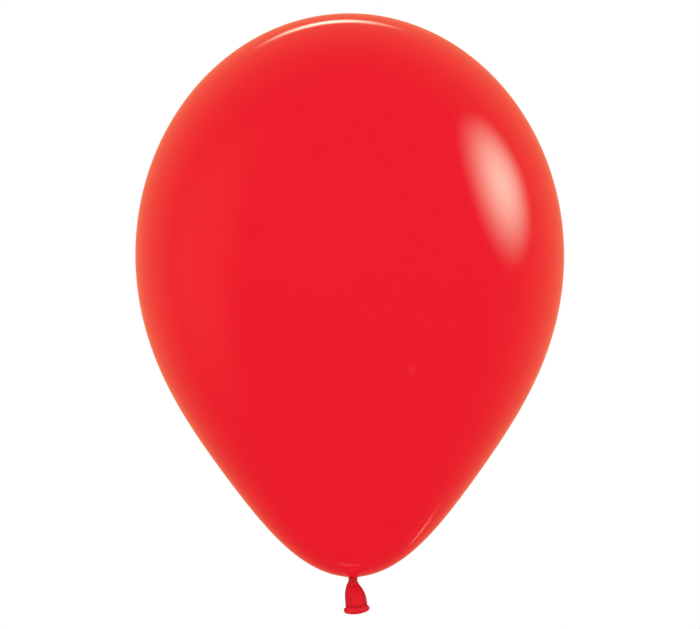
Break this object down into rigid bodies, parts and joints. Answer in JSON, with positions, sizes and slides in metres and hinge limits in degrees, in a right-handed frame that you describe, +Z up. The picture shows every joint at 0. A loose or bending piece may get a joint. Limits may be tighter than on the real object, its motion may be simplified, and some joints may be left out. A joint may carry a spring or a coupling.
{
  "type": "latex balloon",
  "caption": "Inflated pear-shaped party balloon in glossy latex, tied in its own neck, with a pleated, flattened tail that ends in a rolled rim.",
  "frame": {"origin": "middle of the tie groove in the neck, between the knot above and the tail below", "axes": "+Z up the neck to the crown; the flat of the tail faces -Y; +X to the right of a viewer at -Y"},
  "size_m": [0.2996, 0.2996, 0.4203],
  "materials": {
    "stretched_latex": "gloss",
    "neck_latex": "satin"
  },
  "bodies": {
    "knot": {"knot_turn": "neck_latex", "knot_core": "neck_latex"},
    "stem": {"neck_stem": "neck_latex"},
    "funnel": {"neck_funnel": "neck_latex"},
    "bulb": {"envelope": "stretched_latex"},
    "throat": {"tail_throat": "neck_latex"},
    "tail": {"tail_sleeve": "neck_latex", "rolled_rim": "neck_latex"}
  },
  "joints": [
    {"name": "neck_twist", "type": "hinge", "parent": "knot", "child": "stem", "pos_m": [0, 0, 0.002], "axis": [0, 0, 1], "range_deg": [-90, 90], "stiffness_Nm_per_rad": 0.002},
    {"name": "bulb_sway_side", "type": "hinge", "parent": "stem", "child": "funnel", "pos_m": [0, 0, 0.002], "axis": [0, 1, 0], "range_deg": [-25, 25], "stiffness_Nm_per_rad": 0.05},
    {"name": "bulb_sway_fore", "type": "hinge", "parent": "funnel", "child": "bulb", "pos_m": [0, 0, 0.002], "axis": [1, 0, 0], "range_deg": [-25, 25], "stiffness_Nm_per_rad": 0.05},
    {"name": "tail_flop", "type": "hinge", "parent": "knot", "child": "throat", "pos_m": [0, 0, -0.0026], "axis": [1, 0, 0], "range_deg": [-34, 86], "stiffness_Nm_per_rad": 0.0005},
    {"name": "tail_lean", "type": "hinge", "parent": "throat", "child": "tail", "pos_m": [0, 0, -0.0026], "axis": [0, 0.8988, -0.4384], "range_deg": [-27.5, 42.5], "stiffness_Nm_per_rad": 0.0005}
  ]
}
